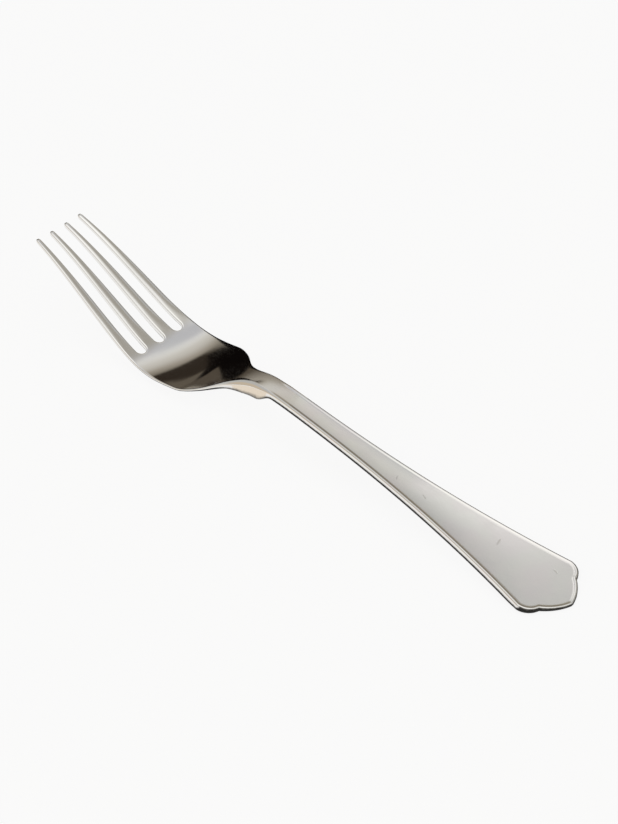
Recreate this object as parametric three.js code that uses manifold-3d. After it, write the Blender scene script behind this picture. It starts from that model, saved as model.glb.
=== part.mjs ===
// Dessert fork of stainless steel: one flat blank, struck and bent to shape.
// It is given here as the stretches of that blank, the handle, neck, head and four tines, met face to face.
// Sizes are in millimetres. X runs from the end of the handle to the tips of the tines, and Z is up.
import * as THREE from "three";
import { mergeVertices } from "three/addons/utils/BufferGeometryUtils.js";
import Module from "manifold-3d";

// Lengths along the fork
const HANDLE_LENGTH = 98;
const NECK_LENGTH = 14;
const HEAD_LENGTH = 68;
const SLOT_DEPTH = 39.5;

// Widths of the handle and neck
const HANDLE_END_WIDTH = 21.8;
const HANDLE_TAPER = 2.3;
const WAIST_WIDTH = 6.25;
const NECK_WIDTH = 6.6;
const NECK_ROOT_WIDTH = 9.4;
const NECK_FLARE = 1.1;

// The scalloped end of the handle: a blunt point, then a notch and a rounded corner on each side
const POINT_WIDTH = 0.6;
const NOTCH_SETBACK = 4.6;
const NOTCH_SPREAD = 14.7;
const LOBE_BULGE = 0.66;
const CORNER_SETBACK = 9;
const CORNER_BULGE = 1;

// Widths of the head, and how far past the neck the head has them
const SHOULDER_WIDTH = 19.2;
const SHOULDER_AT = 7;
const PALM_WIDTH = 22.9;
const PALM_AT = 11.5;
const HEAD_WIDTH = 23.4;
const BELLY_AT = 20.8;
const MID_TINE_WIDTH = 21.7;
const MID_TINE_AT = 37.7;
const TIPS_WIDTH = 16.8;

// Slots and tines
const SLOT_WIDTH = 3.2;
const SLOT_PITCH = 6.8;
const TINE_TIP_WIDTH = 1.3;
const INNER_TIP_PITCH = 5.3;
const TIP_ROUND = 0.9;
const TIP_FLAT = 0.3;

// Heights of the upper face on the centre line and its slopes, with the fork lying on a table
const POINT_HEIGHT = 1;
const HANDLE_SLOPE = 0.1075;
const BEND_LENGTH = 8;
const CREST_AT = 3.3;
const CREST_HEIGHT = 11.45;
const FALL_AT = 1.35;
const FALL_HEIGHT = 7.7;
const FALL_SLOPE = -0.59;
const MID_TINE_HEIGHT = 6.6;
const MID_TINE_SLOPE = 0.48;
const TIP_HEIGHT = 20;
const TIP_SLOPE = 0.29;

// Thicknesses, and where the neck is thickest
const HANDLE_THICKNESS = 2.3;
const WAIST_THICKNESS = 2.1;
const NECK_THICKNESS = 3.9;
const SWELL_START = 0.8;
const SWELL_AT = 4.6;
const SWELL_END = 9;
const SHOULDER_THICKNESS = 2.2;
const HEAD_THICKNESS = 1.85;
const TINE_TIP_THICKNESS = 1.2;

// Shape across the fork: how the middle stands above the edges, or the edges above the middle
const HANDLE_CROWN = 0.15;
const NECK_CROWN = 0.3;
const SHOULDER_DEPTH = 0.8;
const BOWL_DEPTH = 0.95;
const SLOT_ROOT_DEPTH = 0.52;
const TINES_DEPTH = 0.4;
const EDGE_ROUND = 0.5;
const UNDER_ROUND = 0.75;

const STEEL_COLOUR = 0xbdbcb8;
const STEEL_ROUGHNESS = 0.22;

// Stations along the fork, from the point of the handle
const headStart = HANDLE_LENGTH + NECK_LENGTH;
const length = headStart + HEAD_LENGTH;
const slotRoot = length - SLOT_DEPTH;
const tineStart = slotRoot + SLOT_WIDTH / 2;
const bend = HANDLE_LENGTH - BEND_LENGTH;
const swellStart = HANDLE_LENGTH + SWELL_START;
const swell = HANDLE_LENGTH + SWELL_AT;
const swellEnd = HANDLE_LENGTH + SWELL_END;
const shoulder = headStart + SHOULDER_AT;
const palm = headStart + PALM_AT;
const belly = headStart + BELLY_AT;
const midTine = headStart + MID_TINE_AT;

// A curve through [station, value, slope] triples
function hermite(knots) {
  return (s) => {
    let i = 0;
    while (i < knots.length - 2 && s > knots[i + 1][0]) i += 1;
    const [s0, v0, k0] = knots[i];
    const [s1, v1, k1] = knots[i + 1];
    const step = s1 - s0;
    const t = Math.min(Math.max((s - s0) / step, 0), 1);
    const u = 1 - t;
    const ends = v0 * u * u * (1 + 2 * t) + v1 * t * t * (1 + 2 * u);
    return ends + step * t * u * (k0 * u - k1 * t);
  };
}

// A curve through [station, value] pairs that doesn't overshoot them
function smooth(pairs) {
  const rate = (i) => (pairs[i + 1][1] - pairs[i][1]) / (pairs[i + 1][0] - pairs[i][0]);
  const last = pairs.length - 1;
  const slopeAt = (i) => {
    if (i === 0) return rate(0);
    if (i === last) return rate(last - 1);
    const before = rate(i - 1);
    const after = rate(i);
    return before * after <= 0 ? 0 : (2 * before * after) / (before + after);
  };
  return hermite(pairs.map(([s, v], i) => [s, v, slopeAt(i)]));
}

// The distance from the centre line on a circular arc between two points of the outline, bulging outwards
function arc([s0, y0], [s1, y1], bulge) {
  const chord = Math.hypot(s1 - s0, y1 - y0);
  const radius = (chord * chord) / (8 * bulge) + bulge / 2;
  const reach = (radius - bulge) / chord;
  const centreS = (s0 + s1) / 2 + (y1 - y0) * reach;
  const centreY = (y0 + y1) / 2 - (s1 - s0) * reach;
  return (s) => centreY + Math.sqrt(Math.max(radius * radius - (s - centreS) ** 2, 0));
}

const notch = [NOTCH_SETBACK, NOTCH_SPREAD / 2];
const lobe = arc([0, POINT_WIDTH / 2], notch, LOBE_BULGE);
const corner = arc(notch, [CORNER_SETBACK, HANDLE_END_WIDTH / 2], CORNER_BULGE);
const headOutline = smooth([
  [HANDLE_LENGTH, WAIST_WIDTH / 2],
  [swellEnd, NECK_WIDTH / 2],
  [headStart, NECK_ROOT_WIDTH / 2],
  [shoulder, SHOULDER_WIDTH / 2],
  [palm, PALM_WIDTH / 2],
  [belly, HEAD_WIDTH / 2],
  [midTine, MID_TINE_WIDTH / 2],
  [length, TIPS_WIDTH / 2],
]);

// Half the width of the upper face at a station
function halfWidth(s) {
  if (s <= NOTCH_SETBACK) return lobe(s);
  if (s <= CORNER_SETBACK) return corner(s);
  if (s >= HANDLE_LENGTH) return headOutline(s);
  const share = (HANDLE_LENGTH - s) / (HANDLE_LENGTH - CORNER_SETBACK);
  return WAIST_WIDTH / 2 + ((HANDLE_END_WIDTH - WAIST_WIDTH) / 2) * share ** HANDLE_TAPER;
}

// Height of the upper face on the centre line
const topLine = hermite([
  [0, POINT_HEIGHT, HANDLE_SLOPE],
  [bend, POINT_HEIGHT + HANDLE_SLOPE * bend, HANDLE_SLOPE],
  [HANDLE_LENGTH + CREST_AT, CREST_HEIGHT, 0],
  [headStart + FALL_AT, FALL_HEIGHT, FALL_SLOPE],
  [belly, HEAD_THICKNESS, 0],
  [midTine, MID_TINE_HEIGHT, MID_TINE_SLOPE],
  [length, TIP_HEIGHT, TIP_SLOPE],
]);

const thickness = smooth([
  [0, HANDLE_THICKNESS],
  [swellStart, WAIST_THICKNESS],
  [swell, NECK_THICKNESS],
  [swellEnd, NECK_THICKNESS],
  [shoulder, SHOULDER_THICKNESS],
  [palm, HEAD_THICKNESS],
  [tineStart, HEAD_THICKNESS],
  [length, TINE_TIP_THICKNESS],
]);

// How far the edges of the head stand above its middle, above and below alike
const bowlKnots = [
  [shoulder, SHOULDER_DEPTH],
  [palm, BOWL_DEPTH],
  [slotRoot, SLOT_ROOT_DEPTH],
  [length, TINES_DEPTH],
];
const topDish = smooth([
  [0, -HANDLE_CROWN],
  [HANDLE_LENGTH, -HANDLE_CROWN],
  [swellEnd, -NECK_CROWN],
  ...bowlKnots,
]);
const lowDish = smooth([[0, 0], [swellStart, 0], [swellEnd, NECK_CROWN], ...bowlKnots]);

// How far the sides of the neck spread below its upper face
const flare = smooth([
  [0, 0],
  [swellStart, 0],
  [swell, NECK_FLARE],
  [swellEnd, NECK_FLARE],
  [headStart + FALL_AT, 0],
  [length, 0],
]);

const topAt = (s, y) => topLine(s) + topDish(s) * (y / halfWidth(s)) ** 2;

// The underside is flat where the handle lies on the table
const lowAt = (s, y) => {
  const middle = topLine(s) - thickness(s);
  return Math.max(middle + lowDish(s) * (y / (halfWidth(s) + flare(s))) ** 2, 0);
};

// Points of a rounded corner, from one side of it to the other
function eased(from, tip, to, count) {
  const points = [];
  for (let i = 1; i <= count; i += 1) {
    const t = i / count;
    const weights = [(1 - t) * (1 - t), 2 * t * (1 - t), t * t];
    points.push([0, 1].map((k) => weights[0] * from[k] + weights[1] * tip[k] + weights[2] * to[k]));
  }
  return points;
}

// Half of a section's face, from its middle outwards: the face at height(y), then its rounded corner
function halfFace(middle, edge, height, across, round, wallEnd) {
  const tip = [edge, height(edge)];
  const wall = [wallEnd[0] - tip[0], wallEnd[1] - tip[1]];
  const wallHeight = Math.hypot(wall[0], wall[1]);
  const radius = Math.min(round, wallHeight * 0.45, Math.abs(edge - middle) * 0.45);
  const start = edge - Math.sign(edge - middle) * radius;
  const points = [];
  for (let i = 0; i <= across; i += 1) {
    const y = middle + ((start - middle) * i) / across;
    points.push([y, height(y)]);
  }
  const onWall = [0, 1].map((k) => tip[k] + (wall[k] * radius) / wallHeight);
  return points.concat(eased(points[across], tip, onWall, 3));
}

// The upper and the lower face of a section, each from its right-hand wall to its left-hand wall
function section(right, left, spread, top, low, across) {
  const middle = (right + left) / 2;
  const face = (ends, height, round, farEnds, farHeight) => {
    const [one, two] = ends.map((edge, k) =>
      halfFace(middle, edge, height, across, round, [farEnds[k], farHeight(farEnds[k])]));
    return one.reverse().concat(two.slice(1));
  };
  const upper = [right, left];
  const lower = [right - spread, left + spread];
  return {
    top: face(upper, top, EDGE_ROUND, lower, low),
    low: face(lower, low, UNDER_ROUND, upper, top),
  };
}

// A closed body through sections, with a flat face at each end
function loft(stations, sectionAt) {
  const sections = stations.map(sectionAt);
  const count = sections[0].top.length;
  const positions = [];
  sections.forEach(({ top, low }, i) => {
    for (const [y, z] of top.concat(low)) positions.push(stations[i] - length / 2, y, z);
  });
  const top = (i, j) => i * 2 * count + j;
  const low = (i, j) => top(i, j) + count;
  const index = [];
  const quad = (a, b, c, d) => index.push(a, b, c, a, c, d);
  const end = stations.length - 1;
  const side = count - 1;
  for (let i = 0; i < end; i += 1) {
    for (let j = 0; j < side; j += 1) {
      quad(top(i, j), top(i + 1, j), top(i + 1, j + 1), top(i, j + 1));
      quad(low(i, j), low(i, j + 1), low(i + 1, j + 1), low(i + 1, j));
    }
    quad(low(i, side), top(i, side), top(i + 1, side), low(i + 1, side));
    quad(low(i, 0), low(i + 1, 0), top(i + 1, 0), top(i, 0));
  }
  for (let j = 0; j < side; j += 1) {
    quad(low(end, j), low(end, j + 1), top(end, j + 1), top(end, j));
    quad(low(0, j), top(0, j), top(0, j + 1), low(0, j + 1));
  }
  const geometry = new THREE.BufferGeometry();
  geometry.setAttribute("position", new THREE.Float32BufferAttribute(positions, 3));
  geometry.setIndex(index);
  return geometry;
}

// Stations from one place to another, spaced evenly
function spaced(from, to, count) {
  return Array.from({ length: count + 1 }, (_, i) => from + ((to - from) * i) / count);
}

// A section across the whole fork
function plate(s) {
  const half = halfWidth(s);
  return section(-half, half, flare(s), (y) => topAt(s, y), (y) => lowAt(s, y), 5);
}

// The handle, with closer stations round its scalloped end
function handle() {
  const lobes = spaced(0, NOTCH_SETBACK, 9);
  const corners = [0.05, 0.13, 0.24, 0.4, 0.6, 0.8].map(
    (share) => NOTCH_SETBACK + (CORNER_SETBACK - NOTCH_SETBACK) * share);
  const shaft = spaced(CORNER_SETBACK, HANDLE_LENGTH, 22);
  return loft([...lobes, ...corners, ...shaft], plate);
}

const neck = () => loft(spaced(HANDLE_LENGTH, headStart, 14), plate);

const wasm = await Module();
wasm.setup();

function solid(geometry) {
  const vertProperties = new Float32Array(geometry.getAttribute("position").array);
  const triVerts = new Uint32Array(geometry.getIndex().array);
  return new wasm.Manifold(new wasm.Mesh({ numProp: 3, vertProperties, triVerts }));
}

// The round root of a slot, through the full height of the fork
function slotCutter(y) {
  const radius = SLOT_WIDTH / 2;
  const cylinder = new THREE.CylinderGeometry(radius, radius, 2 * TIP_HEIGHT, 40);
  cylinder.deleteAttribute("normal");
  cylinder.deleteAttribute("uv");
  cylinder.rotateX(Math.PI / 2);
  cylinder.translate(tineStart - length / 2, y, 0);
  return solid(mergeVertices(cylinder));
}

// The head, cut by the round roots of the three slots
function head() {
  const stations = [...spaced(headStart, palm, 10), ...spaced(palm, tineStart, 12).slice(1)];
  let made = solid(loft(stations, plate));
  for (const y of [-SLOT_PITCH, 0, SLOT_PITCH]) made = made.subtract(slotCutter(y));
  const mesh = made.getMesh();
  const geometry = new THREE.BufferGeometry();
  geometry.setAttribute("position", new THREE.BufferAttribute(mesh.vertProperties, 3));
  geometry.setIndex(new THREE.BufferAttribute(mesh.triVerts, 1));
  return geometry;
}

// A tine between two edge lines, rounded off at its tip
function tine(right, left) {
  const sectionAt = (s) => {
    const toTip = Math.min((length - s) / TIP_ROUND, 1);
    const size = TIP_FLAT + (1 - TIP_FLAT) * Math.sqrt(1 - (1 - toTip) ** 2);
    const middle = (right(s) + left(s)) / 2;
    const half = ((left(s) - right(s)) / 2) * size;
    const shrink = ((1 - size) * thickness(s)) / 2;
    const top = (y) => topAt(s, y) - shrink;
    const low = (y) => lowAt(s, y) + shrink;
    return section(middle - half, middle + half, 0, top, low, 2);
  };
  const tip = length - TIP_ROUND;
  const rounded = [0.35, 0.65, 0.88, 1].map((share) => tip + TIP_ROUND * share);
  return loft([...spaced(tineStart, tip, 10), ...rounded], sectionAt);
}

// An edge of a tine: a straight line from its root to its tip
const edgeLine = (root, tip) => (s) => root + ((tip - root) * (s - tineStart)) / (length - tineStart);
const innerTip = INNER_TIP_PITCH / 2;
const outerTip = TIPS_WIDTH / 2 - TINE_TIP_WIDTH;
const tines = {
  tine_inner: [
    edgeLine(SLOT_WIDTH / 2, innerTip - TINE_TIP_WIDTH / 2),
    edgeLine(SLOT_PITCH - SLOT_WIDTH / 2, innerTip + TINE_TIP_WIDTH / 2),
  ],
  tine_outer: [edgeLine(SLOT_PITCH + SLOT_WIDTH / 2, outerTip), halfWidth],
};

const fork = new THREE.Group();
fork.name = "dessert_fork";

function add(name, geometry) {
  const material = new THREE.MeshStandardMaterial({
    color: STEEL_COLOUR,
    roughness: STEEL_ROUGHNESS,
    metalness: 1,
  });
  geometry.computeVertexNormals();
  const mesh = new THREE.Mesh(geometry, material);
  mesh.name = name;
  fork.add(mesh);
}

add("handle", handle());
add("neck", neck());
add("head", head());
for (const [name, [inside, outside]] of Object.entries(tines)) {
  add(`${name}_left`, tine(inside, outside));
  add(`${name}_right`, tine((s) => -outside(s), (s) => -inside(s)));
}

export default fork;
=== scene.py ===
"""Dessert fork of stainless steel: one struck blank, dressed as its handle, neck, head and four tines."""

import math

import bpy
import numpy as np
from mathutils import Matrix


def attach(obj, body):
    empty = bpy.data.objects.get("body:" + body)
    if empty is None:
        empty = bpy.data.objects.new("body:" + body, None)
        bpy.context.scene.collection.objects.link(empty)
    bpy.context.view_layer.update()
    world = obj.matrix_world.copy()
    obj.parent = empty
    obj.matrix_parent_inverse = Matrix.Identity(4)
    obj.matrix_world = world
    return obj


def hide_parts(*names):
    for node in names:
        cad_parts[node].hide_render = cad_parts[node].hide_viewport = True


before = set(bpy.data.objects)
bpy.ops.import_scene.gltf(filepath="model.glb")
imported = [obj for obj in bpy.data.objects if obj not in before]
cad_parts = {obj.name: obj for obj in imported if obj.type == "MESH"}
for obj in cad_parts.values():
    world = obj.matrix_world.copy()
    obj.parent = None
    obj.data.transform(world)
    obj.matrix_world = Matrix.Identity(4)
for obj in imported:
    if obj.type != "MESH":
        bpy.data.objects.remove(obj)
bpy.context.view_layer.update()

# All lengths of the fork are in millimetres, and those along it count from the point of the handle
MILLIMETRE = 0.001
LENGTH = 180.0
HANDLE_LENGTH = 98.0
HEAD_START = 112.0
SLOT_ROOT = 140.5
SLOT_WIDTH = 3.2
SLOT_PITCH = 6.8
SLOT_RADIUS = SLOT_WIDTH / 2
TINE_START = SLOT_ROOT + SLOT_RADIUS

# The scalloped end of the handle: point, notch and rounded corner, as distances from the point and the middle
POINT_HALF = 0.3
NOTCH = (4.6, 7.35)
CORNER = (9.0, 10.9)
LOBE_BULGE = 0.66
CORNER_BULGE = 1.0
WAIST_HALF = 3.125
HANDLE_TAPER = 2.3
# Up to where the outline is kept exact, and over what length it then goes over to a softened one
END_REACH = 14
END_BLEND = 6

# The tips of the tines
TIP_ROUND = 0.9
TIP_FLAT = 0.3
TIP_HALF = 0.65
INNER_TIP = 2.65
OUTER_TIP = 7.75

# Stations at which the curves along the fork are averaged, and how many spreads the averaging bell reaches out
STEP = 0.05
BELL_REACH = 4
STATIONS = np.arange(0, LENGTH + STEP / 2, STEP)


def hermite(knots):
    """Cubic curve through rows of station, value and slope, held level beyond its ends."""
    at, value, slope = np.array(knots, float).T

    def curve(s):
        s = np.clip(s, at[0], at[-1])
        i = np.clip(np.searchsorted(at, s) - 1, 0, len(at) - 2)
        step = at[i + 1] - at[i]
        t = (s - at[i]) / step
        u = 1 - t
        ends = value[i] * u * u * (1 + 2 * t) + value[i + 1] * t * t * (1 + 2 * u)
        return ends + step * t * u * (slope[i] * u - slope[i + 1] * t)

    return curve


def fair(pairs):
    """Curve through pairs of station and value that never overshoots: each slope is the harmonic mean of its two
    spans."""
    at, value = np.array(pairs, float).T
    rate = np.diff(value) / np.diff(at)
    before, after = rate[:-1], rate[1:]
    same_way = before * after > 0
    inner = np.where(same_way, 2 * before * after / np.where(same_way, before + after, 1), 0)
    slope = np.concatenate([rate[:1], inner, rate[-1:]])
    return hermite(np.stack([at, value, slope], 1))


def softened(curve, spread):
    """The curve averaged along the fork with a bell-shaped weight, so that its bending has no steps."""
    reach = int(BELL_REACH * spread / STEP)
    weight = np.exp(-0.5 * (np.arange(-reach, reach + 1) * STEP / spread) ** 2)
    value = curve(STATIONS)
    ahead = 2 * value[0] - value[reach:0:-1]
    behind = 2 * value[-1] - value[-2:-reach - 2:-1]
    soft = np.convolve(np.concatenate([ahead, value, behind]), weight / weight.sum(), "valid")
    return lambda s: np.interp(s, STATIONS, soft)


def arc(start, end, bulge):
    """Distance from the middle line on a circular arc between two points of the outline, bulging outwards."""
    (s0, y0), (s1, y1) = start, end
    chord = math.hypot(s1 - s0, y1 - y0)
    radius = chord * chord / (8 * bulge) + bulge / 2
    reach = (radius - bulge) / chord
    centre_s = (s0 + s1) / 2 + (y1 - y0) * reach
    centre_y = (y0 + y1) / 2 - (s1 - s0) * reach
    return lambda s: centre_y + np.sqrt(np.maximum(radius**2 - (s - centre_s) ** 2, 0))


lobe = arc((0, POINT_HALF), NOTCH, LOBE_BULGE)
corner = arc(NOTCH, CORNER, CORNER_BULGE)
# How far the rim of the head lies below and outside a rim of the blank's full thickness, because its edge is thin
rim_fall = fair([(0, 0), (107, 0), (113, 0.35), (118, 0.75), (123, 0.7), (128, 0.45), (135, 0.4), (141, 0.35),
                 (150, 0.2), (180, 0)])
RIM_SPREAD = 0.88
head_outline = fair([(98, 3.125), (107, 3.3), (112, 4.7), (119, 9.6), (123.5, 11.45), (132.8, 11.7),
                     (149.7, 10.85), (180, 8.4)])


def plain_half_width(s):
    """Two arcs round the scalloped end, a power of the distance along the shaft, and a fair curve from waist to
    tips."""
    share = np.clip((HANDLE_LENGTH - s) / (HANDLE_LENGTH - CORNER[0]), 0, 1)
    shaft = WAIST_HALF + (CORNER[1] - WAIST_HALF) * share**HANDLE_TAPER
    head = head_outline(s) + RIM_SPREAD * rim_fall(s)
    return np.select([s <= NOTCH[0], s <= CORNER[0], s < HANDLE_LENGTH], [lobe(s), corner(s), shaft], head)


soft_half_width = softened(plain_half_width, 1.0)


def half_width(s):
    """Half the width of the upper face: exact round the scalloped end, softened from the shaft on."""
    blend = np.clip((s - END_REACH) / END_BLEND, 0, 1)
    return plain_half_width(s) * (1 - blend) + soft_half_width(s) * blend


# Height of the blank's middle line and its thickness along the fork, before the head is dished
blank_line = hermite([(0, 1, 0.1075), (90, 10.675, 0.1075), (102.3, 11.5, 0), (113.35, 7.85, -0.56),
                      (132.8, 1.85, 0), (149.7, 6.6, 0.48), (180, 20, 0.29)])
blank_depth = fair([(0, 2.3), (98.8, 2.1), (102.6, 3.9), (107, 3.9), (119, 2.2), (123.5, 1.85), (142.1, 1.85),
                    (180, 1.2)])
rim_rise = fair([(0, -0.05), (98, -0.05), (107, -0.12), (119, 0.8), (123.5, 0.95), (140.5, 0.52), (180, 0.4)])
rim_line = softened(lambda s: blank_line(s) + rim_rise(s) - rim_fall(s), 1.0)
low_line = softened(lambda s: blank_line(s) - blank_depth(s), 0.7)
# How deep the upper face is hollowed below its rim; below nothing it is crowned
hollow = softened(fair([(0, 0.21), (9, 0.21), (22, 0.18), (40, 0.14), (60, 0.11), (80, 0.09), (95, 0.08),
                        (103, -0.15), (108, -0.15), (113, 0), (119, 0.45), (123.5, 0.75), (128, 0.7), (134, 0.42),
                        (140.5, 0.25), (150, 0.2), (180, 0.2)]), 1.0)
# Thickness at the outer edge, and how far the neck's flanks spread towards the underside
edge_depth = softened(fair([(0, 2.25), (98.8, 2.1), (102.6, 3.85), (107, 3.7), (110, 3.1), (113, 2.1), (116, 1.35),
                            (119, 0.95), (123, 0.8), (135, 0.85), (142, 1.05), (150, 1.4), (180, 1.15)]), 0.5)
flare = softened(fair([(0, 0), (98.8, 0), (102.6, 1.1), (107, 1.1), (113.35, 0), (180, 0)]), 0.4)

# The lip along the edge of the handle: its height and width
lip_height = softened(fair([(0, 0.19), (20, 0.18), (60, 0.16), (96, 0.14), (100.5, 0), (180, 0)]), 0.5)
LIP_WIDTH = 1.3
# Roundness of the tines across their width
tine_crown = softened(fair([(0, 0), (141, 0), (145, 0.05), (151, 0.12), (165, 0.09), (180, 0.05)]), 0.5)

# How far the eased edges reach in from the outline, and down from the face
edge_reach = softened(fair([(0, 0.8), (96, 0.8), (100, 0.8), (104, 1.1), (108, 1.6), (111, 1.8), (114, 1.2),
                            (118, 0.5), (124, 0.4), (140, 0.5), (150, 0.4), (180, 0.25)]), 0.5)
edge_drop = softened(fair([(0, 0.5), (96, 0.5), (100, 0.6), (104, 1.2), (108, 1.5), (111, 1.4), (114, 0.9),
                           (118, 0.4), (124, 0.3), (140, 0.32), (150, 0.35), (180, 0.3)]), 0.5)
UNDER_REACH = 0.8
UNDER_RISE = 0.6
# The most of the thickness that the eased edges may take from above and from below
MOST_DROP = 0.45
MOST_RISE = 0.42

# How strongly painted shade darkens the lower edge along the fork, standing in for the mirrored shadow beneath
lower_shade_along = softened(fair([(0, 1), (96, 1), (101, 0.6), (112, 0.6), (118, 0.9), (127, 0.9), (140, 0.55), (150, 0.35),
                          (180, 0.3)]), 0.5)
LOWER_SHADE_WIDTH = 0.9
# How strongly painted shade darkens the scalloped end's upper edge, for the shadow its wall mirrors, and how far in
END_SHADE_SHARE = 0.7
END_SHADE_WIDTH = 0.3
# How far in from its edges the steel is worn smooth
RIM_WIDTH = 0.9

# The four fingers that the blank is made of, from right to left, which part into the tines
FINGERS = range(4)
# Columns across each finger, closer together towards its edges
ACROSS = 28
FINGER = (1 - np.cos(np.pi * np.arange(ACROSS + 1) / ACROSS)) / 2


def face_top(s, y):
    """The upper face without lip and eased edges: the rim line less the hollow, which fades with the square of the
    distance out."""
    wide = np.where(s < CORNER[0], CORNER[1], half_width(s))
    return rim_line(s) - hollow(s) * (1 - (y / wide) ** 2)


def face_low(s, y):
    """The underside without its eased edges: from the low line up to the thin edge with the square of the distance
    out, and flat where it lies on the table."""
    share = (y / half_width(s)) ** 2
    return np.maximum(low_line(s) * (1 - share) + (rim_line(s) - edge_depth(s)) * share, 0)


def eased(distance, reach, drop):
    """A parabola that leaves the face level at reach and meets the wall upright at the edge, drop below the face."""
    return drop * (1 - np.sqrt(np.clip(distance / reach, 0, 1))) ** 2


def bell(distance, width):
    """A bell of height one over the distance."""
    return np.exp(-((distance / width) ** 2))


# Fineness of the outline's slope, and of the path round the scalloped end that distances are taken to
SLOPE_STEP = 0.1
POINT_STEPS = 7
PATH_LENGTH = 20
PATH_STEP = 0.04


def edge_distance(s, y):
    """Distance in plan from points of the face to the outer outline: true distance round the scalloped end, slanted
    distance elsewhere."""
    spread = half_width(s)
    slope = (half_width(s + SLOPE_STEP) - half_width(s - SLOPE_STEP)) / (2 * SLOPE_STEP)
    slanted = (spread - np.abs(y)) / np.hypot(1, slope)
    near = s[..., 0] < END_REACH
    if near.any():
        path_s = np.concatenate([np.zeros(POINT_STEPS), np.arange(0, PATH_LENGTH, PATH_STEP)])
        path_y = np.concatenate([np.linspace(0, POINT_HALF, POINT_STEPS), half_width(path_s[POINT_STEPS:])])
        gap_s = s[near][..., None] - path_s
        gap_y = np.abs(y[near])[..., None] - path_y
        slanted[near] = np.sqrt((gap_s**2 + gap_y**2).min(-1))
    return np.maximum(slanted, 0)


def finger_edges(k, s):
    """Right and left edge of finger k: level slot lines behind the roots, half circles round them, then straight
    lines to the tips. The outermost edges are the outline."""
    opening = np.sqrt(np.maximum(SLOT_RADIUS**2 - np.maximum(TINE_START - s, 0) ** 2, 0))
    opening = np.where(s < SLOT_ROOT, 0, opening)
    along = np.clip((s - TINE_START) / (LENGTH - TINE_START), 0, 1)
    inwards = half_width(np.minimum(s, SLOT_ROOT)) / half_width(SLOT_ROOT)
    middle_edge = opening + along * (INNER_TIP - TIP_HALF - SLOT_RADIUS)
    inner_edge = SLOT_PITCH * inwards - opening + along * (INNER_TIP + TIP_HALF - SLOT_PITCH + SLOT_RADIUS)
    outer_edge = SLOT_PITCH * inwards + opening + along * (OUTER_TIP - TIP_HALF - SLOT_PITCH - SLOT_RADIUS)
    outline = half_width(s)
    return [(-outline, -outer_edge), (-inner_edge, -middle_edge), (middle_edge, inner_edge), (outer_edge, outline)][k]


def slot_distance(k, s, y, right, left):
    """Distance in plan from points of finger k to its slots: to the half circles behind the tines, to the straight
    edges along them."""
    far = np.full(y.shape, LENGTH)
    to_right = y - right[:, None] if k > 0 else far
    to_left = left[:, None] - y if k < FINGERS[-1] else far
    straight = np.minimum(to_right, to_left)
    rings = np.stack([np.hypot(s - TINE_START, y - middle) for middle in (-SLOT_PITCH, 0, SLOT_PITCH)])
    return np.where(s < TINE_START, rings.min(0) - SLOT_RADIUS, straight)


# Least half width of a finger that its crown is reckoned with
NARROWEST = 0.1


def finger(k, s):
    """Upper and lower face of finger k at stations s, as two grids of points with the strength of painted shade on its
    edges and its closeness to an edge as two more numbers. Each face is the plain face with its lip and crown, less
    its eased edges, widened by the flare and drawn in round the tip."""
    right, left = finger_edges(k, s)
    y = right[:, None] + (left - right)[:, None] * FINGER
    along = np.broadcast_to(s[:, None], y.shape)
    top, low = face_top(along, y), face_low(along, y)
    wall = top - low
    half_tine = (left - right)[:, None] / 2
    widest = np.where(along > SLOT_ROOT, half_tine, LENGTH)
    reach, under = np.minimum(edge_reach(along), widest), np.minimum(UNDER_REACH, widest)
    drop, rise = np.minimum(edge_drop(along), MOST_DROP * wall), np.minimum(UNDER_RISE, MOST_RISE * wall)
    outer, slot = edge_distance(along, y), slot_distance(k, along, y, right, left)
    outer_drop, outer_rise = eased(outer, reach, drop), eased(outer, under, rise)
    side = np.sign(y) * flare(along)
    top_y = y + side * outer_drop / wall
    low_y = y + y * flare(along) / half_width(along) - side * outer_rise / wall
    share = np.clip(outer / LIP_WIDTH, 0, 1)
    lip = lip_height(along) * (1 - share**2 * (3 - 2 * share))
    middle = ((right + left) / 2)[:, None]
    crown = tine_crown(along) * ((y - middle) / np.maximum(half_tine, NARROWEST)) ** 2
    top_z = top + lip - crown - outer_drop - eased(slot, reach, drop)
    low_z = low + outer_rise + eased(slot, under, rise)
    to_tip = np.clip((LENGTH - along) / TIP_ROUND, 0, 1)
    size = TIP_FLAT + (1 - TIP_FLAT) * np.sqrt(1 - (1 - to_tip) ** 2)
    level = (top + low) / 2
    end = np.clip(CORNER[0] - along, 0, 1)
    inwards = np.minimum(outer, slot)
    # Painted shade: the scalloped end's upper edge and all lower edges are marked to be darkened, for the shadow the
    # steel mirrors there
    top_shade = END_SHADE_SHARE * end * bell(outer, END_SHADE_WIDTH)
    low_shade = lower_shade_along(along) * bell(inwards, LOWER_SHADE_WIDTH)
    rim = bell(inwards, RIM_WIDTH)
    place = along - LENGTH / 2
    top = np.stack([place, middle + (top_y - middle) * size, level + (top_z - level) * size, top_shade, rim], -1)
    low = np.stack([place, middle + (low_y - middle) * size, level + (low_z - level) * size, low_shade, rim], -1)
    return top, low


def finger_skin(k, s, right_wall=True, left_wall=True):
    """Skin of finger k between stations: upper face, lower face and its walls. Rows run along the fork, so that all
    faces point outwards."""
    top, low = finger(k, s)
    grids = [top, low[:, ::-1]]
    if right_wall:
        grids.append(np.stack([low[:, 0], top[:, 0]], 1))
    if left_wall:
        grids.append(np.stack([top[:, -1], low[:, -1]], 1))
    return grids


def joined(s):
    """Skin of all fingers between stations where they are one blank, with walls on the outline only."""
    return [grid for k in FINGERS for grid in finger_skin(k, s, k == FINGERS[0], k == FINGERS[-1])]


def parted(s):
    """Skin of all fingers between stations where slots part them, each with both its walls."""
    return [grid for k in FINGERS for grid in finger_skin(k, s)]


def cap(k, station, forwards):
    """Flat face that closes finger k at a station, facing along the fork or back."""
    top, low = (grid[0] for grid in finger(k, np.array([station])))
    return np.stack([top, low] if forwards else [low, top])


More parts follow.
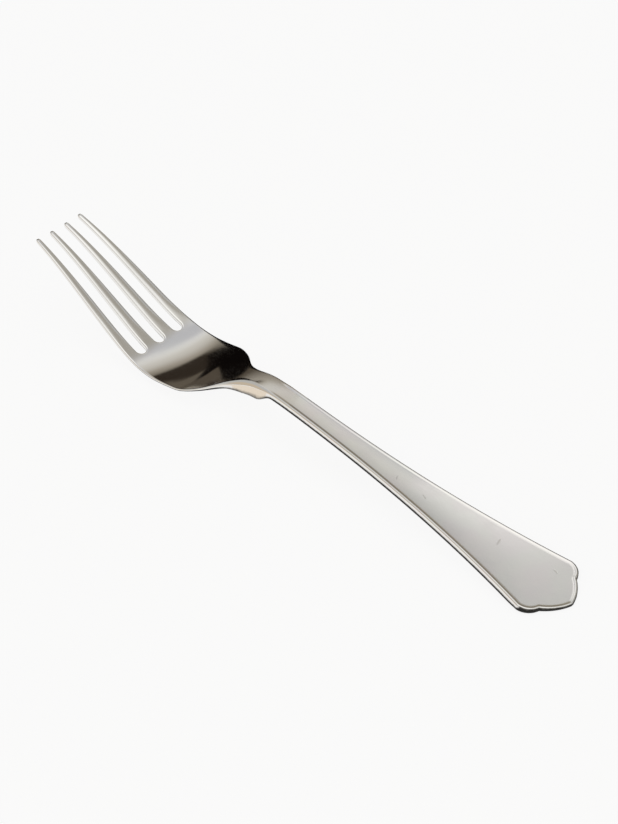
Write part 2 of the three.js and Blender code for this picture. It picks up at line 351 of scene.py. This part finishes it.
def end_caps(fingers, first, last):
    """Flat faces that close some fingers at their first and last station."""
    return [cap(k, s, forwards) for k in fingers for s, forwards in ((first, False), (last, True))]


def spaced(*stops):
    """Stations from stop to stop, each given as a station and the number of steps up to it."""
    runs = [np.linspace(a, b, n + 1)[1:] for (a, _), (b, n) in zip(stops, stops[1:])]
    return np.concatenate([[stops[0][0]], *runs])


# Rows of each piece along the fork, closer together where the outline turns
ROOT_ROWS, TINE_ROWS, TIP_ROWS = 25, 90, 15
QUARTER_TURN = np.pi / 2
handle_rows = spaced((0, 0), (10, 200), (88, 80), (HANDLE_LENGTH, 24))
neck_rows = spaced((HANDLE_LENGTH, 0), (HEAD_START, 56))
head_rows = spaced((HEAD_START, 0), (125, 44), (138.7, 34), (SLOT_ROOT, 28))
root_rows = TINE_START - SLOT_RADIUS * np.cos(np.linspace(0, QUARTER_TURN, ROOT_ROWS))
root_rows[0], root_rows[-1] = SLOT_ROOT, TINE_START
tip_turn = LENGTH - TIP_ROUND * (1 - np.sin(np.linspace(0, QUARTER_TURN, TIP_ROWS)))
tine_rows = np.concatenate([np.linspace(TINE_START, LENGTH - TIP_ROUND, TINE_ROWS), tip_turn[1:]])

TINE_NAMES = ["tine_outer_right", "tine_inner_right", "tine_inner_left", "tine_outer_left"]
skins = {
    "handle": joined(handle_rows),
    "neck": joined(neck_rows),
    "head": joined(head_rows) + parted(root_rows),
}
caps = {
    "handle": end_caps(FINGERS, 0, HANDLE_LENGTH),
    "neck": end_caps(FINGERS, HANDLE_LENGTH, HEAD_START),
    "head": end_caps(FINGERS, HEAD_START, TINE_START),
}
for k, name in zip(FINGERS, TINE_NAMES):
    skins[name] = finger_skin(k, tine_rows)
    caps[name] = end_caps([k], TINE_START, LENGTH)


def quads(grid, first):
    """Four-sided faces of a grid of points whose numbers start at first."""
    number = first + np.arange(grid.shape[0] * grid.shape[1]).reshape(grid.shape[:2])
    return np.stack([number[:-1, :-1], number[1:, :-1], number[1:, 1:], number[:-1, 1:]], -1).reshape(-1, 4)


def numbered(grids, first):
    """Points and faces of several grids in a row."""
    faces = []
    for grid in grids:
        faces.append(quads(grid, first))
        first += grid.shape[0] * grid.shape[1]
    return np.concatenate([grid.reshape(-1, grid.shape[-1]) for grid in grids]), np.concatenate(faces)


# Digits of a millimetre to which points have to agree to be made one
WELD_DIGITS = 4


def make_pieces():
    """One mesh per piece. Points that coincide anywhere on the fork are made one, and each takes the sum of the face
    normals round it, so that light runs on unbroken where one piece meets the next. The hidden caps stay flat."""
    points, rows, first = [], [], 0
    for name in skins:
        for grids, is_skin in ((skins[name], True), (caps[name], False)):
            some, faces = numbered(grids, first)
            points.append(some)
            rows.append((name, is_skin, faces))
            first += len(some)
    points = np.concatenate(points)
    _, kept, same = np.unique(np.round(points[:, :3], WELD_DIGITS), axis=0, return_index=True, return_inverse=True)
    # The first mark is painted shade along the edges, the second how close a point is to an edge
    marks = {"edge_shade": points[kept, 3], "rim": points[kept, 4]}
    points, same = points[kept, :3] * MILLIMETRE, same.ravel()
    normals = np.zeros_like(points)
    flat = {}
    for name, is_skin, faces in rows:
        faces = same[faces]
        a, b, c, d = (points[faces[:, i]] for i in range(4))
        across = np.cross(c - a, d - b)
        if is_skin:
            for i in range(4):
                np.add.at(normals, faces[:, i], across)
        flat.setdefault(name, []).append((is_skin, faces, across))
    normals /= np.linalg.norm(normals, axis=1, keepdims=True)
    pieces = {}
    for name, parts in flat.items():
        faces = np.concatenate([faces for _, faces, _ in parts])
        turned = [normals[faces] if is_skin else
                  np.repeat((across / np.linalg.norm(across, axis=1, keepdims=True))[:, None], 4, 1)
                  for is_skin, faces, across in parts]
        used, local = np.unique(faces, return_inverse=True)
        mesh = bpy.data.meshes.new(name)
        mesh.from_pydata(points[used].tolist(), [], local.reshape(-1, 4).tolist())
        mesh.polygons.foreach_set("use_smooth", np.ones(len(faces), bool))
        mesh.normals_split_custom_set(np.concatenate(turned).reshape(-1, 3).tolist())
        for mark, value in marks.items():
            mesh.attributes.new(mark, "FLOAT", "POINT").data.foreach_set("value", value[used].astype(np.float32))
        piece = bpy.data.objects.new("steel_" + name, mesh)
        bpy.context.scene.collection.objects.link(piece)
        pieces[name] = piece
    return pieces


pieces = make_pieces()

# The photograph's camera, fitted to the outline: where it looks, from where, and its focal length in pixels
AZIMUTH, ELEVATION, ROLL = 0.860822, 0.712525, 0.043211
TARGET = np.array([0.0014089, -0.0041758, 0.005])
DISTANCE = 0.7979
FOCAL_PIXELS = 3071.5
PICTURE_HEIGHT = 824
SENSOR = 36.0
CLIP_START = 0.01


def add_camera():
    """Camera on a line from its target, turned about that line by its roll."""
    level = math.cos(ELEVATION)
    back = np.array([-level * math.cos(AZIMUTH), level * math.sin(AZIMUTH), math.sin(ELEVATION)])
    right = np.cross(-back, [0, 0, 1])
    right /= np.linalg.norm(right)
    up = np.cross(back, right)
    turned = math.cos(ROLL) * right + math.sin(ROLL) * up
    upright = math.cos(ROLL) * up - math.sin(ROLL) * right
    data = bpy.data.cameras.new("camera")
    data.sensor_fit = "VERTICAL"
    data.sensor_height = SENSOR
    data.lens = FOCAL_PIXELS * SENSOR / PICTURE_HEIGHT
    data.clip_start = CLIP_START
    camera = bpy.data.objects.new("camera", data)
    place = np.eye(4)
    place[:3, 0], place[:3, 1], place[:3, 2], place[:3, 3] = turned, upright, back, TARGET + DISTANCE * back
    camera.matrix_world = Matrix(place.tolist())
    bpy.context.scene.collection.objects.link(camera)
    bpy.context.scene.camera = camera


add_camera()


def node(tree, kind, inputs=None, **settings):
    """A node with its settings. Each input is a plain value or the output of another node."""
    made = tree.nodes.new(kind)
    for key, value in settings.items():
        setattr(made, key, value)
    for key, value in (inputs or {}).items():
        if isinstance(value, bpy.types.NodeSocket):
            tree.links.new(value, made.inputs[key])
        else:
            made.inputs[key].default_value = value
    return made


def math_node(tree, operation, *values):
    """Output of a sum or other plain operation on values."""
    return node(tree, "ShaderNodeMath", dict(enumerate(values)), operation=operation).outputs[0]


def ranged(tree, value, low, high, to_low=0.0, to_high=1.0, smooth=True):
    """Output that goes from one value to the other while the input goes from low to high."""
    kind = "SMOOTHSTEP" if smooth else "LINEAR"
    inputs = {"Value": value, "From Min": low, "From Max": high, "To Min": to_low, "To Max": to_high}
    return node(tree, "ShaderNodeMapRange", inputs, interpolation_type=kind).outputs["Result"]


def blended(tree, share, first, second, way="MIX"):
    """Colour between two colours."""
    inputs = {"Factor": share, "A": first, "B": second}
    return node(tree, "ShaderNodeMix", inputs, data_type="RGBA", blend_type=way).outputs["Result"]


def effect(name, inputs, outputs):
    """An empty node group with float or vector inputs and the named outputs, and its two end nodes."""
    tree = bpy.data.node_groups.new(name, "ShaderNodeTree")
    for label, value in inputs.items():
        kind = "NodeSocketVector" if isinstance(value, tuple) else "NodeSocketFloat"
        tree.interface.new_socket(label, in_out="INPUT", socket_type=kind).default_value = value
    for label, kind in outputs.items():
        tree.interface.new_socket(label, in_out="OUTPUT", socket_type=kind)
    return tree, tree.nodes.new("NodeGroupInput"), tree.nodes.new("NodeGroupOutput")


def placed(tree, group, **inputs):
    """A node group placed in a material with its own values."""
    made = node(tree, "ShaderNodeGroup", node_tree=group)
    for key, value in inputs.items():
        made.inputs[key.replace("_", " ")].default_value = value
    return made


# Scales of the marks on the steel, and the part of a noise's range that is used
LINES_ALONG, LINES_ACROSS = 60.0, 3500.0
HAZE_SCALE = 120.0
NOISE_RANGE = (0.3, 0.7)
# The two tints of the haze, the part of its noise that changes between them, and a shift that sets it off the haze
ROSE, STRAW = (1.0, 0.86, 0.84, 1), (0.98, 0.97, 0.84, 1)
TINT_RANGE = (0.35, 0.65)
TINT_SHIFT = (0.31, 0.17, 0.07)
# Where the painted shade on the lower edge starts and is full, and how ragged its border is
SHADE_START, SHADE_FULL = 0.3, 0.75
RAGGED_SCALE = 900.0
RAGGED = 0.05
# Heights in metres between which nicks set in, so that the underside has none, and where they start to fade
NICK_HEIGHTS = (0.0005, 0.0015)
NICK_FADE = 0.2


def polishing_lines():
    """Fine lines left by the polishing belt: noise drawn out along the fork."""
    tree, given, out = effect("polishing_lines", {"Along": LINES_ALONG, "Across": LINES_ACROSS},
                              {"Lines": "NodeSocketFloat"})
    place = node(tree, "ShaderNodeTexCoord").outputs["Object"]
    stretch_by = node(tree, "ShaderNodeCombineXYZ", {"X": given.outputs["Along"], "Y": given.outputs["Across"],
                                                    "Z": given.outputs["Across"]}).outputs[0]
    drawn = node(tree, "ShaderNodeVectorMath", {0: place, 1: stretch_by}, operation="MULTIPLY").outputs[0]
    noise = node(tree, "ShaderNodeTexNoise", {"Vector": drawn, "Scale": 1.0, "Detail": 3.0, "Roughness": 0.6})
    tree.links.new(ranged(tree, noise.outputs["Fac"], *NOISE_RANGE, smooth=False), out.inputs["Lines"])
    return tree


def handling_haze():
    """Cloudy marks of handling and washing: broad noise, and a faint change of tint from rose to straw."""
    tree, given, out = effect("handling_haze", {"Scale": HAZE_SCALE, "Tint": 0.1},
                              {"Haze": "NodeSocketFloat", "Colour": "NodeSocketColor"})
    place = node(tree, "ShaderNodeTexCoord").outputs["Object"]
    broad = node(tree, "ShaderNodeTexNoise", {"Vector": place, "Scale": given.outputs["Scale"], "Detail": 4.0,
                                              "Roughness": 0.55})
    moved = node(tree, "ShaderNodeVectorMath", {0: place, 1: TINT_SHIFT}, operation="ADD").outputs[0]
    tint = node(tree, "ShaderNodeTexNoise", {"Vector": moved, "Scale": given.outputs["Scale"], "Detail": 1.0})
    hue = blended(tree, ranged(tree, tint.outputs["Fac"], *TINT_RANGE), ROSE, STRAW)
    tree.links.new(ranged(tree, broad.outputs["Fac"], *NOISE_RANGE), out.inputs["Haze"])
    tree.links.new(blended(tree, given.outputs["Tint"], (1, 1, 1, 1), hue), out.inputs["Colour"])
    return tree


def shaded_edge():
    """Painted shade along the lower edges, standing in for the shadow beneath the fork that the steel mirrors: the
    edge mark with a ragged border.
    """
    tree, given, out = effect("shaded_edge", {"Start": SHADE_START, "Full": SHADE_FULL},
                              {"Shade": "NodeSocketFloat"})
    place = node(tree, "ShaderNodeTexCoord").outputs["Object"]
    ragged = node(tree, "ShaderNodeTexNoise", {"Vector": place, "Scale": RAGGED_SCALE, "Detail": 3.0}).outputs["Fac"]
    edge_shade = node(tree, "ShaderNodeAttribute", attribute_name="edge_shade").outputs["Fac"]
    uneven = math_node(tree, "ADD", edge_shade, ranged(tree, ragged, *NOISE_RANGE, -RAGGED, RAGGED, smooth=False))
    share = ranged(tree, uneven, given.outputs["Start"], given.outputs["Full"])
    tree.links.new(share, out.inputs["Shade"])
    return tree


def nick():
    """A short scratch: distance from its middle, turned along it and divided by its half length and half width."""
    tree, given, out = effect("nick", {"Place": (0.0, 0.0, 0.0), "Turn": 0.0, "Half Length": 0.001,
                                       "Half Width": 0.0002}, {"Mark": "NodeSocketFloat"})
    place = node(tree, "ShaderNodeTexCoord").outputs["Object"]
    apart = node(tree, "ShaderNodeVectorMath", {0: place, 1: given.outputs["Place"]}, operation="SUBTRACT").outputs[0]
    turned = node(tree, "ShaderNodeVectorRotate", {"Vector": apart, "Angle": given.outputs["Turn"]},
                  rotation_type="Z_AXIS").outputs[0]
    parts = node(tree, "ShaderNodeSeparateXYZ", {0: turned}).outputs
    long = math_node(tree, "DIVIDE", parts["X"], given.outputs["Half Length"])
    wide = math_node(tree, "DIVIDE", parts["Y"], given.outputs["Half Width"])
    round_it = math_node(tree, "ADD", math_node(tree, "MULTIPLY", long, long), math_node(tree, "MULTIPLY", wide, wide))
    above = ranged(tree, node(tree, "ShaderNodeSeparateXYZ", {0: place}).outputs["Z"], *NICK_HEIGHTS)
    mark = math_node(tree, "MULTIPLY", ranged(tree, round_it, NICK_FADE, 1.0, 1.0, 0.0), above)
    tree.links.new(mark, out.inputs["Mark"])
    return tree


def finish_along():
    """Roughness that changes along the fork between two stations."""
    tree, given, out = effect("finish_along", {"Start": 0.0, "End": 0.01, "First": 0.2, "Last": 0.1},
                              {"Roughness": "NodeSocketFloat"})
    place = node(tree, "ShaderNodeTexCoord").outputs["Object"]
    x = node(tree, "ShaderNodeSeparateXYZ", {0: place}).outputs["X"]
    rough = ranged(tree, x, *(given.outputs[label] for label in ("Start", "End", "First", "Last")))
    tree.links.new(rough, out.inputs["Roughness"])
    return tree


LINES, HAZE, SHADE_GROUP, NICK, FINISH = polishing_lines(), handling_haze(), shaded_edge(), nick(), finish_along()
# Colour of the bare steel, the near black painted shade on its edges and their roughness, and how far worn edges take
# on their own
STEEL = (0.83, 0.82, 0.80, 1)
SHADE_COLOUR = (0.03, 0.028, 0.026, 1)
SHADED_EDGE_ROUGHNESS = 0.5
RIM_POLISH = 0.8
RIM_ROUGHNESS = 0.1
# How much lines and haze add to the roughness, and their mean, which is taken off again
LINES_ROUGHEN, HAZE_ROUGHENS, MEAN_ROUGHENED = 0.05, 0.04, 0.045
# Height of the lines and depth of the nicks in the bump, and its strength and distance
LINES_HEIGHT, NICK_DEPTH = 0.2, 5.0
BUMP_STRENGTH, BUMP_DISTANCE = 0.06, 0.00002
NICK_COLOUR = (0.3, 0.29, 0.28, 1)
NICK_DARKENS, NICK_ROUGHENS = 0.18, 0.15


def steel(name, start, end, first, last, tint, nicks=()):
    """Stainless steel, whose roughness goes from first to last between two places along the fork: haze and lines vary
    it and a slight bump, painted shade makes the lower edges near black and rougher, standing in for the shadow they
    mirror, and nicks are darker, rougher dents."""
    material = bpy.data.materials.new(name)
    material.use_nodes = True
    tree = material.node_tree
    shader = tree.nodes["Principled BSDF"]
    shader.inputs["Metallic"].default_value = 1
    lines = placed(tree, LINES, Along=LINES_ALONG, Across=LINES_ACROSS).outputs["Lines"]
    haze = placed(tree, HAZE, Scale=HAZE_SCALE, Tint=tint)
    edge_shade = placed(tree, SHADE_GROUP, Start=SHADE_START, Full=SHADE_FULL).outputs["Shade"]
    rough = placed(tree, FINISH, Start=start, End=end, First=first, Last=last).outputs["Roughness"]
    from_lines = math_node(tree, "MULTIPLY", lines, LINES_ROUGHEN)
    from_haze = math_node(tree, "MULTIPLY", haze.outputs["Haze"], HAZE_ROUGHENS)
    uneven = math_node(tree, "ADD", from_lines, from_haze)
    rough = math_node(tree, "ADD", rough, math_node(tree, "SUBTRACT", uneven, MEAN_ROUGHENED))
    colour = blended(tree, 1.0, STEEL, haze.outputs["Colour"], "MULTIPLY")
    height = math_node(tree, "MULTIPLY", lines, LINES_HEIGHT)
    for x, y, turn, half_length, half_across in nicks:
        mark = placed(tree, NICK, Place=(x * MILLIMETRE, y * MILLIMETRE, 0.0), Turn=math.radians(turn),
                      Half_Length=half_length * MILLIMETRE, Half_Width=half_across * MILLIMETRE).outputs["Mark"]
        height = math_node(tree, "SUBTRACT", height, math_node(tree, "MULTIPLY", mark, NICK_DEPTH))
        colour = blended(tree, math_node(tree, "MULTIPLY", mark, NICK_DARKENS), colour, NICK_COLOUR)
        rough = math_node(tree, "ADD", rough, math_node(tree, "MULTIPLY", mark, NICK_ROUGHENS))
    rim = node(tree, "ShaderNodeAttribute", attribute_name="rim").outputs["Fac"]
    rough = node(tree, "ShaderNodeMix", {"Factor": math_node(tree, "MULTIPLY", rim, RIM_POLISH), "A": rough,
                                         "B": RIM_ROUGHNESS}).outputs["Result"]
    # Painted shade: the marked edges turn near black, standing in for the shadow that the steel mirrors, and grow
    # rougher
    colour = blended(tree, edge_shade, colour, SHADE_COLOUR)
    rough = node(tree, "ShaderNodeMix", {"Factor": edge_shade, "A": rough, "B": SHADED_EDGE_ROUGHNESS}).outputs["Result"]
    bump = node(tree, "ShaderNodeBump", {"Strength": BUMP_STRENGTH, "Distance": BUMP_DISTANCE, "Height": height})
    tree.links.new(colour, shader.inputs["Base Color"])
    tree.links.new(rough, shader.inputs["Roughness"])
    tree.links.new(bump.outputs["Normal"], shader.inputs["Normal"])
    return material


# Scratches on the handle: place along and across from the middle, turn in degrees, half length and half width
NICKS = [(-33.0, 0.6, 60, 0.9, 0.25), (-42.0, 0.4, 20, 1.0, 0.22), (-64.5, -2.2, 75, 1.5, 0.4),
         (-80.4, -5.2, 10, 0.9, 0.3)]
satin_steel = steel("satin_steel", start=-0.06, end=0.008, first=0.16, last=0.15, tint=0.22, nicks=NICKS)
neck_steel = steel("neck_steel", start=0.008, end=0.022, first=0.19, last=0.14, tint=0.08)
polished_steel = steel("polished_steel", start=0.022, end=0.030, first=0.14, last=0.09, tint=0.05)
FINISHES = {"handle": satin_steel, "neck": neck_steel}
for name, piece in pieces.items():
    piece.data.materials.append(FINISHES.get(name, polished_steel))
    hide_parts(name)
    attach(piece, "root")


def on_stage(name, points, faces, material):
    """A thing of the studio that is not part of the fork."""
    mesh = bpy.data.meshes.new(name)
    mesh.from_pydata(points, [], faces)
    mesh.materials.append(material)
    thing = bpy.data.objects.new(name, mesh)
    bpy.context.scene.collection.objects.link(thing)
    return thing


# The floor in metres, and how far it is plain white to the camera and in the steel
FLOOR_HALF = 3
FLOOR_COLOUR = (0.92, 0.92, 0.92, 1)
FLOOR_ROUGHNESS = 0.9
FLOOR_WHITE_SEEN = 0.88
FLOOR_WHITE_MIRRORED = 0.95


def floor_finish():
    """A pale matt floor, mostly plain white to the camera and in the steel, so that only a soft shadow shows."""
    material = bpy.data.materials.new("pale_floor")
    material.use_nodes = True
    tree = material.node_tree
    shader = tree.nodes["Principled BSDF"]
    shader.inputs["Base Color"].default_value = FLOOR_COLOUR
    shader.inputs["Roughness"].default_value = FLOOR_ROUGHNESS
    path = node(tree, "ShaderNodeLightPath").outputs
    seen = math_node(tree, "MULTIPLY", path["Is Camera Ray"], FLOOR_WHITE_SEEN)
    mirrored = math_node(tree, "MAXIMUM", path["Is Glossy Ray"], path["Is Transmission Ray"])
    share = math_node(tree, "MAXIMUM", seen, math_node(tree, "MULTIPLY", mirrored, FLOOR_WHITE_MIRRORED))
    white = node(tree, "ShaderNodeEmission", {"Color": (1, 1, 1, 1), "Strength": 1.0})
    mix = node(tree, "ShaderNodeMixShader", {0: share, 1: shader.outputs[0], 2: white.outputs[0]})
    tree.links.new(mix.outputs[0], tree.nodes["Material Output"].inputs["Surface"])
    return material


floor_corners = [(x * FLOOR_HALF, y * FLOOR_HALF, 0) for x, y in ((-1, -1), (1, -1), (1, 1), (-1, 1))]
on_stage("floor", floor_corners, [(0, 1, 2, 3)], floor_finish())

world = bpy.data.worlds.new("studio")
bpy.context.scene.world = world
world.use_nodes = True
world.node_tree.nodes["Background"].inputs["Color"].default_value = (1, 1, 1, 1)
world.node_tree.nodes["Background"].inputs["Strength"].default_value = 1


def light(srgb, strength=1.0):
    """A colour of light given as it looks on a screen, from 0 to 255."""
    value = np.array(srgb, float) / 255
    return (*(strength * np.where(value <= 0.04045, value / 12.92, ((value + 0.055) / 1.055) ** 2.4)), 1)


def towards(azimuth, elevation):
    """Unit vector to a place in the room, by its bearing from the tines' direction and its height in degrees."""
    a, e = math.radians(azimuth), math.radians(elevation)
    return math.cos(e) * math.cos(a), math.cos(e) * math.sin(a), math.sin(e)


# The walls of the light tent by height above the floor in degrees, as they look on a screen
TENT_WALL = [
    (0, (172, 167, 158)), (14, (172, 167, 158)), (23, (162, 156, 147)), (28, (132, 125, 114)),
    (31, (126, 119, 108)), (34, (136, 129, 117)), (38, (165, 158, 146)), (43, (202, 198, 190)),
    (46, (212, 209, 202)), (49, (226, 225, 221)), (51, (226, 226, 225)), (53.5, (198, 199, 203)),
    (58, (194, 195, 199)), (63, (216, 217, 219)), (69, (236, 236, 236)), (90, (240, 240, 239)),
]
# Broad patches on the tent: bearing, height, inner and outer angle in degrees, colour and strength
TENT_PATCHES = [
    ("brown_wall", -38, 8, 11, 17, (98, 90, 79), 1.0),
    ("dark_band", -40, 26.5, 6, 10, (50, 43, 36), 1.0),
    ("pale_wall", 40, 30, 40, 62, (194, 193, 190), 1.0),
    ("near_wall", 50, 16, 17, 26, (206, 192, 172), 1.0),
    ("far_roof", -116, 48, 20, 28, (172, 168, 160), 1.0),
    ("far_side", -84, 44, 7, 13, (176, 173, 166), 1.0),
    ("end_lamp", -145, 34, 16, 30, (255, 254, 250), 1.0),
    ("roof_lamp", -82, 78, 8, 22, (255, 255, 253), 1.2),
    ("window", 118, 40, 16, 44, (246, 245, 242), 1.0),
]
# The dome's radius in metres, how far it goes on below the floor as an angle, and its sides and rings
TENT_RADIUS = 2.5
TENT_SKIRT = -0.02
TENT_SIDES, TENT_RINGS = 96, 24


def glow_material(name, colour_in):
    """A material that only gives light, of the colour that colour_in makes in its node tree."""
    material = bpy.data.materials.new(name)
    material.use_nodes = True
    tree = material.node_tree
    tree.nodes.clear()
    glow = node(tree, "ShaderNodeEmission", {"Color": colour_in(tree)})
    tree.links.new(glow.outputs[0], node(tree, "ShaderNodeOutputMaterial").inputs["Surface"])
    material.cycles.emission_sampling = "NONE"
    return material


def tent_colour(tree):
    """Light of the tent: a ramp over the height of the direction from the middle of the floor, with broad soft
    patches mixed in by the angle from their middle."""
    place = node(tree, "ShaderNodeTexCoord").outputs["Object"]
    unit = node(tree, "ShaderNodeVectorMath", {0: place}, operation="NORMALIZE").outputs[0]
    ramp = node(tree, "ShaderNodeValToRGB", {"Fac": node(tree, "ShaderNodeSeparateXYZ", {0: unit}).outputs["Z"]})
    stops = ramp.color_ramp.elements
    while len(stops) < len(TENT_WALL):
        stops.new(0.5)
    for stop, (height, colour) in zip(stops, TENT_WALL):
        stop.position = math.sin(math.radians(height))
        stop.color = light(colour)
    glow = ramp.outputs["Color"]
    for _, azimuth, elevation, inner, outer, colour, strength in TENT_PATCHES:
        lean = node(tree, "ShaderNodeVectorMath", {0: unit, 1: towards(azimuth, elevation)}, operation="DOT_PRODUCT")
        share = ranged(tree, lean.outputs["Value"], math.cos(math.radians(outer)), math.cos(math.radians(inner)))
        glow = blended(tree, share, glow, light(colour, strength))
    return glow


def add_tent():
    """A dome of soft light round the stage, which the camera looks through."""
    turns, rises = np.meshgrid(np.linspace(0, 2 * np.pi, TENT_SIDES + 1)[:-1],
                               np.linspace(TENT_SKIRT, QUARTER_TURN, TENT_RINGS + 1)[:-1])
    ball = np.stack([np.cos(rises) * np.cos(turns), np.cos(rises) * np.sin(turns), np.sin(rises)], -1)
    number = np.arange(ball.shape[0] * ball.shape[1]).reshape(ball.shape[:2])
    right = np.roll(number, -1, 1)
    sides = np.stack([number[:-1], number[1:], right[1:], right[:-1]], -1).reshape(-1, 4)
    points = np.concatenate([ball.reshape(-1, 3), [[0, 0, 1]]]) * TENT_RADIUS
    roof = [(int(a), len(points) - 1, int(b)) for a, b in zip(number[-1], right[-1])]
    tent = on_stage("light_tent", points.tolist(), sides.tolist() + roof, glow_material("tent_glow", tent_colour))
    tent.visible_camera = False


add_tent()

# Cards that only the steel mirrors, as in the photo, where it mirrors the room. All lengths are in metres.
BLACK, TAUPE, CREAM, WHITE = (12, 9, 8), (84, 76, 66), (244, 232, 215), (255, 255, 255)
ON_FLOOR = 0.0002
PANELS_Y = -0.100


def upright(first, second, low, low_end=None):
    """Corners of an upright card: two ends with their upper heights, and the height of the lower edge at each end."""
    return [(*first[:2], low), (*second[:2], low if low_end is None else low_end), second, first]


def laid(height, *plan):
    """Corners of a card that lies level, from its corners in plan."""
    return [(x, y, height) for x, y in plan]


# The corners of each card, then the colours of its lower and upper edge. The far card and the strips give the
# polished bowl its black and brown, the neck card shades the neck, the kerbs draw the dark line along the handle's far
# edge, the mat warms the neck's flank and the panels shade the handle's satin face from the near to the far side.
CARDS = {
    "far_card": (upright((0.329, -0.042, 0.18), (0.274, -0.1775, 0.18), ON_FLOOR), BLACK, BLACK),
    "strip": (upright((0.012, -0.0120, 0.0100), (0.036, -0.0128, 0.0075), ON_FLOOR), BLACK, BLACK),
    "strip_mid": (upright((0.036, -0.0128, 0.0075), (0.0555, -0.0178, 0.0087), ON_FLOOR), BLACK, BLACK),
    "strip_end": (upright((0.0555, -0.0178, 0.0087), (0.062, -0.0195, 0.009), ON_FLOOR), TAUPE, TAUPE),
    "mid_card": (upright((0.085, -0.028, 0.012), (0.062, -0.060, 0.012), ON_FLOOR), TAUPE, TAUPE),
    "neck_card": (upright((0.010, -0.0125, 0.026), (0.043, -0.0125, 0.024), 0.0101), (88, 80, 70), (178, 171, 160)),
    "kerb_end": (upright((-0.086, -0.0138, 0.0040), (-0.050, -0.0082, 0.0075), 0.0014, 0.0053), BLACK, BLACK),
    "kerb": (upright((-0.050, -0.0082, 0.0075), (0.002, -0.0052, 0.0130), 0.0053, 0.0109), BLACK, BLACK),
    "mat": (laid(0.0003, (-0.005, 0.018), (0.055, 0.021), (0.200, 0.110), (0.010, 0.110)), CREAM, CREAM),
    "panel_low": (upright((-0.130, PANELS_Y, 0.058), (0.085, PANELS_Y, 0.058), ON_FLOOR),
                  (190, 187, 182), (150, 146, 139)),
    "panel_side": (upright((0.014, PANELS_Y, 0.128), (0.064, PANELS_Y, 0.128), 0.100),
                   (140, 141, 143), (206, 206, 205)),
    "panel": (upright((-0.130, PANELS_Y, 0.143), (0.014, PANELS_Y, 0.143), 0.113), (112, 114, 118), WHITE),
    "panel_top": (upright((-0.130, PANELS_Y, 0.260), (0.014, PANELS_Y, 0.260), 0.143), WHITE, WHITE),
}


def card_colour(tree, low, high, low_colour, high_colour):
    """Light of a card: one colour, or one at its lower edge, another at its upper edge and an even change between."""
    if high_colour == low_colour:
        return light(low_colour)
    place = node(tree, "ShaderNodeTexCoord").outputs["Object"]
    height = node(tree, "ShaderNodeSeparateXYZ", {0: place}).outputs["Z"]
    return blended(tree, ranged(tree, height, low, high, smooth=False), light(low_colour), light(high_colour))


def add_cards():
    """The cards. Only the steel mirrors them."""
    for name, (corners, low_colour, high_colour) in CARDS.items():
        low, high = corners[0][2], corners[3][2]
        glow = glow_material(name, lambda tree: card_colour(tree, low, high, low_colour, high_colour))
        card = on_stage(name, corners, [(0, 1, 2, 3)], glow)
        card.visible_camera = card.visible_diffuse = card.visible_shadow = False


add_cards()

bpy.context.scene.view_settings.view_transform = "Standard"
